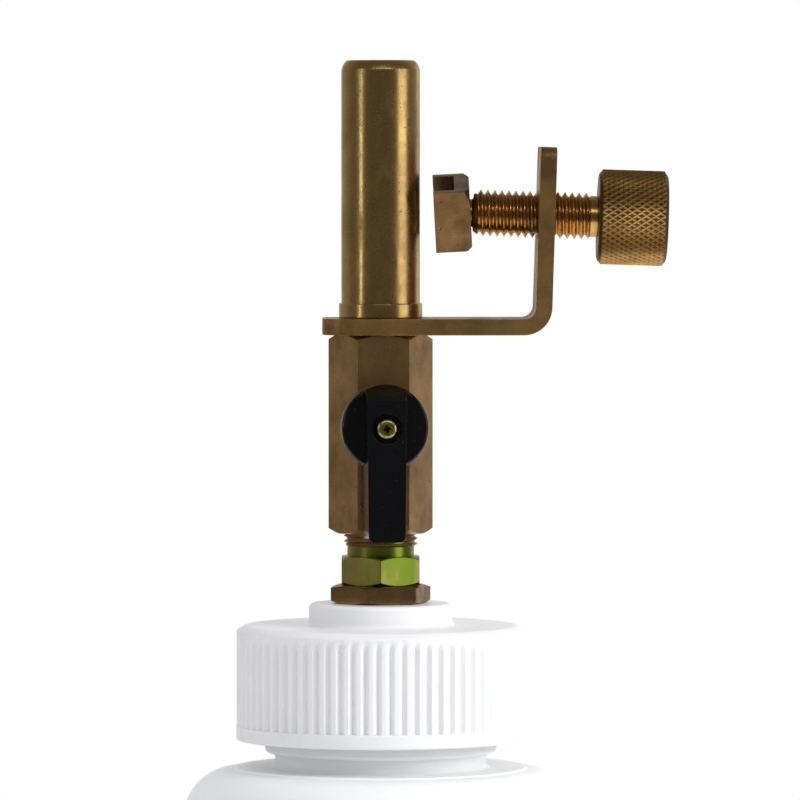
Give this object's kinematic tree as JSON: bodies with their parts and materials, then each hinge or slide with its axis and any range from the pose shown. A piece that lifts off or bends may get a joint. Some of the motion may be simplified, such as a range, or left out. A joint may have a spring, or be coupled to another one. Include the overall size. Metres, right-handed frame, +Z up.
{
  "type": "lampwork torch",
  "caption": "Screw-cap bottle topped by a lever ball valve and a brass outlet tube, with a strap clamp whose knurled thumb screw drives a swivelling jaw.",
  "frame": {"origin": "centre of the bottle's flat base", "axes": "+Z up along the torch's axis, +X towards the clamp's thumb screw, -Y out through the valve lever"},
  "size_m": [0.0904, 0.074, 0.2721],
  "materials": {
    "bottle_plastic": "milky translucent moulded polyethylene",
    "cap_plastic": "white satin moulded plastic",
    "liner_foam": "pale closed-cell foam",
    "satin_brass": "turned and milled, lightly tarnished",
    "bright_brass": "bright turned",
    "yellow_zinc": "yellow iridescent zinc plating on steel",
    "steel": "bright turned",
    "black_plastic": "glossy moulded",
    "rubber": "matt",
    "seal_plastic": "waxy white fluoropolymer"
  },
  "bodies": {
    "bottle": {"bottle": "bottle_plastic"},
    "liner": {"cap_liner": "liner_foam"},
    "torch": {"cap": "cap_plastic", "hex_nipple": "yellow_zinc", "lock_nut_outer": "satin_brass", "inner_gasket": "rubber", "inner_washer": "steel", "lock_nut_inner": "satin_brass", "valve_body": "satin_brass", "seat_lower": "seal_plastic", "seat_upper": "seal_plastic", "seat_retainer": "satin_brass", "clamp_bracket": "satin_brass", "outlet_tube": "satin_brass"},
    "lever": {"handle": "black_plastic", "handle_screw": "yellow_zinc", "handle_lock_washer": "yellow_zinc", "valve_stem": "satin_brass", "stem_thrust_washer": "seal_plastic", "stem_oring_inner": "rubber", "stem_oring_outer": "rubber", "valve_ball": "steel"},
    "jaw_carriage": {"jaw_retaining_ring": "steel"},
    "screw": {"clamp_screw": "bright_brass", "thumb_knob": "satin_brass"},
    "jaw": {"clamp_jaw": "satin_brass"}
  },
  "joints": [
    {"name": "cap_lift", "type": "slide", "parent": "bottle", "child": "liner", "axis": [0, 0, 1], "range_m": [0, 0.00631]},
    {"name": "cap_turn", "type": "hinge", "parent": "liner", "child": "torch", "pos_m": [0, 0, 0.1648], "axis": [0, 0, 1], "range_deg": [0, 540]},
    {"name": "lever_turn", "type": "hinge", "parent": "torch", "child": "lever", "pos_m": [0, 0, 0.2045], "axis": [0, 1, 0], "range_deg": [0, 90]},
    {"name": "clamp_advance", "type": "slide", "parent": "torch", "child": "jaw_carriage", "axis": [-0.9981, 0.0523, 0.0314], "range_m": [-0.01047, 0.0022]},
    {"name": "clamp_turn", "type": "hinge", "parent": "jaw_carriage", "child": "screw", "pos_m": [0.03049, -0.0016, 0.24347], "axis": [-0.9981, 0.0523, 0.0314], "range_deg": [-2906, 616]},
    {"name": "jaw_swivel", "type": "hinge", "parent": "jaw_carriage", "child": "jaw", "pos_m": [0.03049, -0.0016, 0.24347], "axis": [-0.9981, 0.0523, 0.0314], "continuous": true}
  ],
  "couplings": [
    {"joint": "cap_lift", "follows": "cap_turn", "m_per_rad": 0.00066845},
    {"joint": "clamp_turn", "follows": "clamp_advance", "rad_per_m": 4833.2}
  ]
}
